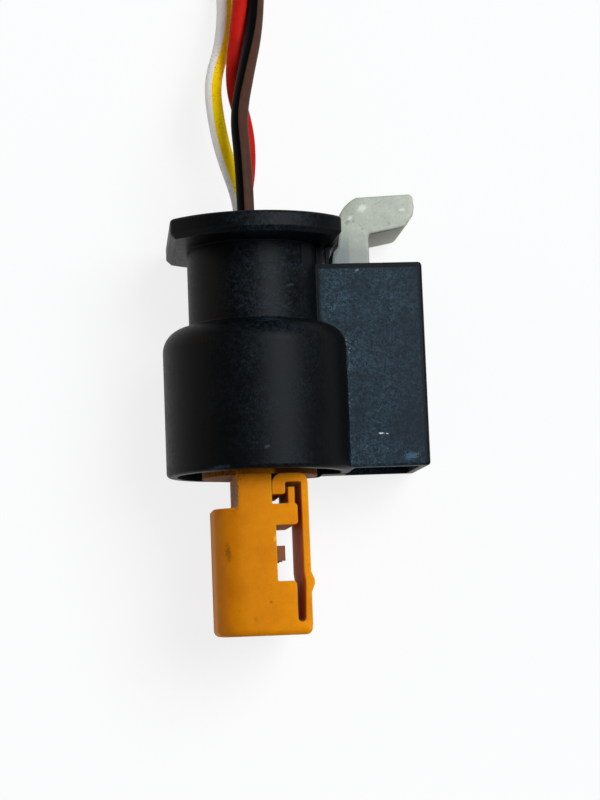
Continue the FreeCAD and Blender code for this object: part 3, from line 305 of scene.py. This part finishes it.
def black_pbt():
    """Glass-filled black PBT, moulded: satin black, with a pale bloom of fine powdery dirt and handling.

    The bloom breaks up into worms 0.3 mm wide. A painted bluish reflection covers the flat face of the
    latch box and is lighter through the worms, and a painted highlight along the top of the round parts,
    lighter on the neck, shows through them. The mould's grain is finer in reality, and is drawn at 0.13 mm
    so that it shows. The shine is far below such a plastic's usual, as the photograph has it.
    """
    made, tree, place = start("black_pbt_moulded")
    bloom = blotches(tree, place, 0.30, 0.42, 0.68, Detail=3, Roughness=0.55, Distortion=1.3)
    patchy = blotches(tree, place, 3.2, 0.34, 0.64, 0.25, 1.0, Detail=4, Roughness=0.65)
    # The bloom, and the painted reflection and highlight with it, fade in patches and towards the box's
    # right.
    for weaker in (patchy, along(tree, place, "X", 9, 16, 1.0, 0.45)):
        bloom = add(tree, "ShaderNodeMath", bloom, weaker, operation="MULTIPLY")
    on_neck = along(tree, place, "Y", *NECK_FROM)
    # Painted highlight: a lighter band along the top of the round parts, lighter still on the neck.
    highlight_band = near(tree, place, "X", TOP_HIGHLIGHT, 1.0, 4.6)
    round_dust_and_highlight = layered(tree, "080C0F", [("1A242B", highlight_band), ("252F36", highlight_band, on_neck)])
    round_parts = layered(tree, BLACK, [(round_dust_and_highlight, bloom)])
    # Painted reflection: the latch box's flat face is a lighter blue-black, lighter still through the
    # bloom's  worms, and past its upper and right edges the box stays near black.
    past_face_edges = add(tree, "ShaderNodeMath", along(tree, place, "Y", *BOX_UPPER_EDGE),
                 along(tree, place, "X", *BOX_RIGHT_EDGE), operation="MAXIMUM")
    face_reflection_and_dust = layered(tree, "151F26", [("3C5562", bloom), ("0A0E12", past_face_edges)])
    on_face = add(tree, "ShaderNodeMath", near(tree, place, "Z", BOX_FACE, 0.10, 0.15),
                  along(tree, place, "X", *FACE_FROM), operation="MULTIPLY")
    on_box = add(tree, "ShaderNodeMath", on_face, along(tree, place, "X", *BOX_FROM), operation="MAXIMUM")
    glint_specks = blotches(tree, place, 0.2, 0.62, 0.66)
    # Painted glints: pale specks of highlight on the fillet in the corner where the skirt and its shoulder
    # meet the latch box.
    in_corner = [near(tree, place, "X", BOX_CORNER, 0.2, 0.35), along(tree, place, "Y", 12.8, 13.6, 1, 0),
                 blotches(tree, place, 1.5, 0.44, 0.56)]
    colour = layered(tree, round_parts, [
        (face_reflection_and_dust, on_box),
        ("343E44", worn_edge(tree, place, 0.16), 0.55),
        *marks(tree, place, HOUSING_MARKS),
        ("8C8A80", glint_specks, *in_corner),
    ])
    roughness = add(tree, "ShaderNodeMapRange", bloom, 0, 1, 0.42, 0.58)
    shader = add(tree, "ShaderNodeBsdfPrincipled", Base_Color=colour, Roughness=roughness,
                 Specular_IOR_Level=0.08, Normal=moulded(tree, place, 0.13, 0.014, 0.6, 0.10, Detail=3))
    add(tree, "ShaderNodeOutputMaterial", shader)
    return made


def orange_pbt():
    """Orange PBT, moulded smooth: a warm, slightly see-through colour, a little worn, with painted shade.

    Its left side is darker with painted shade, and painted shade lies in the skirt's mouth and, broken into
    specks, near it. Grain and mottling are finer in reality, and are drawn at 0.13 to 0.16 mm so that they
    show.
    """
    made, tree, place = start("orange_pbt_moulded")
    speckled_shade = blotches(tree, place, 0.25, 0.50, 0.66, Detail=3, Roughness=0.65)
    near_mouth = along(tree, place, "Y", *NEAR_MOUTH, 0, 0.9)
    in_mouth = along(tree, place, "Y", *IN_MOUTH)
    colour = layered(tree, "F29800", [
        ("E08600", blotches(tree, place, 2.2, 0.35, 0.68, Detail=4, Roughness=0.6)),
        ("C47800", blotches(tree, place, 0.13, 0.35, 0.65, 0, 0.22)),
        # Painted shade: darker towards the left side.
        ("984C00", along(tree, place, "X", *LEFT_SHADE, 0.66, 0.0)),
        ("B06404", blotches(tree, place, 0.22, 0.60, 0.74, 0, 0.35, Detail=3, Roughness=0.6)),
        ("F8BE50", worn_edge(tree, place, 0.2), 0.35),
        *marks(tree, place, CARRIER_MARKS),
        # Painted shade in the skirt's mouth beside the tongue, and near the mouth on the left, broken into
        # specks.
        ("2A1604", in_mouth, along(tree, place, "X", *RIGHT_OF_TONGUE, 0, 0.85)),
        ("4A2C10", in_mouth, along(tree, place, "X", *LEFT_OF_TONGUE, 0.6, 0)),
        ("3A2408", speckled_shade, near_mouth, along(tree, place, "X", *MOUTH_SHADE_LEFT, 1, 0.15)),
    ])
    shader = add(tree, "ShaderNodeBsdfPrincipled", Base_Color=colour, Roughness=0.6,
                 Specular_IOR_Level=0.07, Subsurface_Weight=0.4, Subsurface_Radius=(0.8, 0.55, 0.04),
                 Subsurface_Scale=1.2 * MM, Normal=moulded(tree, place, 0.16, 0.012, 0.5, 0.15, Detail=3))
    add(tree, "ShaderNodeOutputMaterial", shader)
    return made


def natural_nylon():
    """Undyed polyamide, moulded: milky and greenish grey, lets light in, and scratches white."""
    made, tree, place = start("natural_nylon_moulded")
    shade_low_down = along(tree, place, "Y", *POST, 0.7, 0.0)
    colour = layered(tree, "B3B7A6", [
        ("A6A997", blotches(tree, place, 1.3, 0.35, 0.68, Detail=4, Roughness=0.6)),
        ("8E9184", blotches(tree, place, 0.2, 0.52, 0.70, 0, 0.5, Detail=3, Roughness=0.6)),
        ("A09868", along(tree, place, "Z", *SLIDER_BACK, 0.5, 0.0)),
        ("76786A", worn_edge(tree, place, 0.35), 0.75),
        # Painted shade: darker low down on the post towards the latch box, and darker and bluer on its left
        # side.
        ("848982", shade_low_down),
        ("687274", shade_low_down, along(tree, place, "X", *POST_LEFT, 0.8, 0.0)),
        *marks(tree, place, SLIDER_MARKS),
    ])
    shader = add(tree, "ShaderNodeBsdfPrincipled", Base_Color=colour, Roughness=0.42,
                 Specular_IOR_Level=0.4, Subsurface_Weight=0.5, Subsurface_Radius=(1.0, 0.95, 0.8),
                 Subsurface_Scale=0.9 * MM,
                 Normal=moulded(tree, place, 0.3, 0.02, 0.5, Detail=4, Roughness=0.6))
    add(tree, "ShaderNodeOutputMaterial", shader)
    return made


def small_part(name, code, roughness, metallic=0.0):
    """The finish of a small metal or rubber part: one colour, with a faint change of shade."""
    made, tree, place = start(name)
    shade = blotches(tree, place, 0.4, 0.3, 0.7, 0.85, 1.1, Detail=3)
    colour = add(tree, "ShaderNodeVectorMath", linear(code)[:3], shade, operation="MULTIPLY")
    shader = add(tree, "ShaderNodeBsdfPrincipled", Base_Color=colour, Roughness=roughness,
                 Metallic=metallic, Normal=moulded(tree, place, 0.4 / 3, 0.004, 0.5))
    add(tree, "ShaderNodeOutputMaterial", shader)
    return made


def pvc(name, fresh, faded, dirt, clean, stripe=None, middle=0.0, twist=0.0):
    """Soft PVC insulation, extruded: satin, with a stripe along it, and a little workshop dirt.

    The stripe's middle and its twist are shares of a turn, on the tube's own map. More of the wire is
    clean as clean rises. The specks of dirt are drawn at 0.18 mm so that they show.
    """
    made, tree, place = start(name)
    colour = layered(tree, fresh, [(faded, blotches(tree, place, 1.0, 0.4, 0.7, Detail=4))])
    if stripe:
        around = add(tree, "ShaderNodeUVMap", uv_map="along")
        turn, length = [add(tree, "ShaderNodeSeparateXYZ", around, get=axis) for axis in ("X", "Y")]
        twisted = add(tree, "ShaderNodeMapRange", length, *TWIST_FROM_TO, 0, twist)
        off = add(tree, "ShaderNodeMath", turn, twisted, operation="SUBTRACT")
        off = add(tree, "ShaderNodeMath", off, middle, operation="SUBTRACT")
        off = add(tree, "ShaderNodeMath", off, 0.5, -0.5, operation="WRAP")
        off = add(tree, "ShaderNodeMath", off, operation="ABSOLUTE")
        half = STRIPE_SHARE / 2
        on_stripe = add(tree, "ShaderNodeMapRange", off, half - STRIPE_SOFT, half + STRIPE_SOFT, 1, 0)
        colour = layered(tree, colour, [(stripe, on_stripe)])
    specks = blotches(tree, place, 0.18, clean, clean + 0.08, Detail=4, Roughness=0.65)
    patches = blotches(tree, place, 2.0, 0.42, 0.60, 0.15, 1.0, Detail=3)
    colour = layered(tree, colour, [(dirt, specks, patches)])
    shader = add(tree, "ShaderNodeBsdfPrincipled", Base_Color=colour, Roughness=0.5,
                 Specular_IOR_Level=0.05, Normal=moulded(tree, place, 0.25, 0.012, 0.4, Detail=3))
    add(tree, "ShaderNodeOutputMaterial", shader)
    return made


def lights():
    """Plain soft studio light from large panels, in an even pale surrounding."""
    world = bpy.data.worlds.new("studio")
    bpy.context.scene.world = world
    world.use_nodes = True
    world.node_tree.nodes.clear()
    around = add(world.node_tree, "ShaderNodeBackground", SURROUNDING, SURROUNDING_STRENGTH)
    add(world.node_tree, "ShaderNodeOutputWorld", around)
    for name, place, side, watts, code in LAMPS:
        data = bpy.data.lights.new(name, "AREA")
        data.shape = "SQUARE"
        data.size = side
        data.energy = watts
        data.color = linear(code)[:3]
        made = bpy.data.objects.new(name, data)
        made.location = place
        made.rotation_euler = (LAMPS_AIM - Vector(place)).to_track_quat("-Z", "Y").to_euler()
        bpy.context.collection.objects.link(made)


def floor():
    """The white surface that the plug lies on: it shows near white, and keeps a faint shadow."""
    low = CAD_BOX[0][2]
    corners = [(x * FLOOR_HALF, y * FLOOR_HALF, low) for x, y in ((-1, -1), (1, -1), (1, 1), (-1, 1))]
    mesh = bpy.data.meshes.new("floor")
    mesh.from_pydata(corners, [], [(0, 1, 2, 3)])
    made = bpy.data.objects.new("floor", mesh)
    bpy.context.collection.objects.link(made)
    finish, tree, _ = start("white_table_top")
    matt = add(tree, "ShaderNodeBsdfDiffuse", "F4F4F2", 0.9)
    white = add(tree, "ShaderNodeEmission", "FFFFFF", 1.0)
    seen = add(tree, "ShaderNodeLightPath", get="Is Camera Ray")
    for ray in ("Is Glossy Ray", "Is Transmission Ray"):
        other = add(tree, "ShaderNodeLightPath", get=ray)
        seen = add(tree, "ShaderNodeMath", seen, other, operation="MAXIMUM")
    seen = add(tree, "ShaderNodeMath", seen, FLOOR_GLOW, operation="MULTIPLY")
    shown = add(tree, "ShaderNodeMixShader", seen, matt, white)
    add(tree, "ShaderNodeOutputMaterial", shown)
    mesh.materials.append(finish)


def route_points(name):
    """Points along the smooth spline that has the wire's route as its control points, in metres."""
    x, y, z = EXITS[name]
    corners = [(x, y, z), (x, y + STRAIGHT, z)]
    corners += [(x + side, y + ahead, LYING + up) for side, ahead, up in ROUTES[name]]
    data = bpy.data.curves.new(name + "_route", "CURVE")
    data.dimensions = "3D"
    data.resolution_u = ROUTE_STEPS
    spline = data.splines.new("NURBS")
    spline.points.add(len(corners) - 1)
    for point, corner in zip(spline.points, corners):
        point.co = (*(c * MM for c in corner), 1)
    spline.order_u = 3
    spline.use_endpoint_u = True
    line = bpy.data.objects.new(name + "_route", data)
    bpy.context.collection.objects.link(line)
    mesh = bpy.data.meshes.new_from_object(line.evaluated_get(bpy.context.evaluated_depsgraph_get()))
    points = [vertex.co.copy() for vertex in mesh.vertices]
    bpy.data.objects.remove(line)
    return points


def tube(name, points, radius):
    """A closed tube along points, with its own map: share of a turn round it, and millimetres along it.

    The map's turn starts on the side towards +X all the way, so that a stripe runs straight.
    """
    shape = bmesh.new()
    rings, lengths, travelled = [], [], 0.0
    for i, point in enumerate(points):
        ahead = (points[min(i + 1, len(points) - 1)] - points[max(i - 1, 0)]).normalized()
        side = (Vector((1, 0, 0)) - ahead * ahead.x).normalized()
        other = ahead.cross(side)
        travelled += (point - points[i - 1]).length if i else 0.0
        turns = [2 * math.pi * k / WIRE_SIDES for k in range(WIRE_SIDES)]
        rings.append([shape.verts.new(point + (side * math.cos(a) + other * math.sin(a)) * radius)
                      for a in turns])
        lengths.append(travelled)
    layer = shape.loops.layers.uv.new("along")
    for i in range(len(rings) - 1):
        for k in range(WIRE_SIDES):
            n = (k + 1) % WIRE_SIDES
            face = shape.faces.new((rings[i][k], rings[i][n], rings[i + 1][n], rings[i + 1][k]))
            face.smooth = True
            spots = [(k, i), (k + 1, i), (k + 1, i + 1), (k, i + 1)]
            for corner, (turn, ring) in zip(face.loops, spots):
                corner[layer].uv = (turn / WIRE_SIDES, lengths[ring] / MM)
    for ring in (rings[0][::-1], rings[-1]):
        cap = shape.faces.new(ring)
        for corner in cap.loops:
            corner[layer].uv = (0.5, 0)
    bmesh.ops.recalc_face_normals(shape, faces=shape.faces)
    mesh = bpy.data.meshes.new(name)
    shape.to_mesh(mesh)
    shape.free()
    made = bpy.data.objects.new(name, mesh)
    bpy.context.collection.objects.link(made)
    return made


def strand_tree(copper):
    """Nineteen round strands, two rings of them round a middle one, cut off a little unevenly."""
    tree = bpy.data.node_groups.new("strand_bundle", "GeometryNodeTree")
    inputs = [("Strand Radius", "Float", 0.09 * MM), ("Length", "Float", 1.0 * MM),
              ("Uneven", "Float", 0.12), ("Seed", "Int", 4)]
    for name, kind, value in inputs:
        socket = tree.interface.new_socket(name, in_out="INPUT", socket_type="NodeSocket" + kind)
        socket.default_value = value
    tree.interface.new_socket("Geometry", in_out="OUTPUT", socket_type="NodeSocketGeometry")
    radius, length, uneven, seed = [add(tree, "NodeGroupInput", get=name) for name, _, _ in inputs]
    rings = []
    for count, radii in ((6, 2.0), (12, 3.9)):
        reach = add(tree, "ShaderNodeMath", radius, radii, operation="MULTIPLY")
        rings.append(add(tree, "GeometryNodeMeshCircle", Vertices=count, Radius=reach))
    rings.append(add(tree, "GeometryNodeMeshLine", Count=1))
    spots = add(tree, "GeometryNodeJoinGeometry", rings)
    strand = add(tree, "GeometryNodeMeshCylinder", Vertices=12, Radius=radius, Depth=length)
    shortest = add(tree, "ShaderNodeMath", 1.0, uneven, operation="SUBTRACT")
    cut = add(tree, "FunctionNodeRandomValue", shortest, 1.0, Seed=seed, data_type="FLOAT")
    size = add(tree, "ShaderNodeCombineXYZ", STRANDS_WIDTH, STRANDS_WIDTH, cut)
    packed = add(tree, "GeometryNodeInstanceOnPoints", Points=spots, Instance=strand, Scale=size)
    whole = add(tree, "GeometryNodeRealizeInstances", packed)
    painted = add(tree, "GeometryNodeSetMaterial", Geometry=whole, Material=copper)
    add(tree, "NodeGroupOutput", painted)
    return tree


def strands(name, tree, end, ahead):
    """The cut conductor that shows at a wire's end, standing out a little from the insulation."""
    made = bpy.data.objects.new(name, bpy.data.meshes.new(name))
    bpy.context.collection.objects.link(made)
    bundle = made.modifiers.new("strands", "NODES")
    bundle.node_group = tree
    mesh = bpy.data.meshes.new_from_object(made.evaluated_get(bpy.context.evaluated_depsgraph_get()))
    made.modifiers.remove(bundle)
    mesh.transform(Matrix.Translation(end) @ ahead.to_track_quat("Z", "Y").to_matrix().to_4x4())
    made.data = mesh
    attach(made, "housing")
    return made


def wires():
    """The three free wires, each a tube along its route with its cut strands at the end."""
    insulation = {
        "brown": pvc("brown_pvc", "4C3126", "422C20", "8A8074", 0.72, "010101", 0.52, 0.07),
        "yellow": pvc("yellow_pvc", "FED200", "F6C600", "8A6610", 0.57, "EAE6E0", 0.48, 0.10),
        "red": pvc("red_pvc", "B81A0F", "A8140D", "5A0C0A", 0.75),
    }
    bundle = strand_tree(small_part("bare_copper_cut", "C87E54", 0.35, 1.0))
    for name in WIRES:
        points = route_points(name)
        made = tube(f"wire_{name}_insulation", points, WIRE_DIAMETER / 2)
        made.data.materials.append(insulation[name])
        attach(made, "housing")
        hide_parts(f"wire_{name}")
        cut = strands(f"wire_{name}_strands", bundle, points[-1], (points[-1] - points[-2]).normalized())
        paint(nodes[f"wire_end_{name}"], insulation[name])


def paint(obj, finish):
    """Gives an object one material."""
    obj.data.materials.clear()
    obj.data.materials.append(finish)


def white_slider():
    """The locking slider: a merged copy of the CAD's, with its edges rounded as a mould leaves them."""
    shape = bmesh.new()
    shape.from_mesh(nodes["lock_slider"].data)
    bmesh.ops.remove_doubles(shape, verts=shape.verts, dist=TOUCHING)
    bmesh.ops.dissolve_limit(shape, angle_limit=FLAT, verts=shape.verts, edges=shape.edges)
    bmesh.ops.recalc_face_normals(shape, faces=shape.faces)
    sharp = [edge for edge in shape.edges if edge.is_manifold and edge.calc_face_angle() > SHARP]
    bmesh.ops.bevel(shape, geom=sharp, offset=SLIDER_EDGE, offset_type="OFFSET", segments=2, profile=0.5,
                    affect="EDGES", clamp_overlap=False)
    bmesh.ops.triangulate(shape, faces=shape.faces)
    for face in shape.faces:
        face.smooth = True
    for edge in shape.edges:
        edge.smooth = not edge.is_manifold or edge.calc_face_angle() < SHARP
    mesh = bpy.data.meshes.new("lock_slider_moulded")
    shape.to_mesh(mesh)
    shape.free()
    made = bpy.data.objects.new("lock_slider_moulded", mesh)
    bpy.context.collection.objects.link(made)
    even = made.modifiers.new("even", "WEIGHTED_NORMAL")
    even.keep_sharp = True
    mesh.materials.append(natural_nylon())
    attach(made, "slider")
    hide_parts("lock_slider")


def plug():
    """The slider, and the finishes of the pieces that stay as the frame has them."""
    housing = black_pbt()
    paint(nodes["outer_housing"], housing)
    paint(nodes["rear_cover"], housing)
    paint(nodes["contact_carrier"], orange_pbt())
    white_slider()
    # Inside, silicone looks dull and soft, the contacts' alloy has tarnished brown, their spring steel is
    # bright, and the bared strands have copper's own pink.
    silicone = small_part("red_silicone", "7A2A1C", 0.55)
    copper = small_part("copper_alloy_tarnished", "6E4632", 0.45, 1.0)
    steel = small_part("spring_steel_bright", "B8B6B0", 0.3, 1.0)
    bare = small_part("bare_copper", "C07850", 0.3, 1.0)
    paint(nodes["interface_seal"], silicone)
    for name in WIRES:
        paint(nodes[f"wire_seal_{name}"], silicone)
        paint(nodes[f"terminal_{name}"], copper)
        paint(nodes[f"contact_spring_{name}"], steel)
        paint(nodes[f"conductor_{name}"], bare)


bpy.context.scene.view_settings.view_transform = "Standard"
camera()
lights()
floor()
plug()
wires()
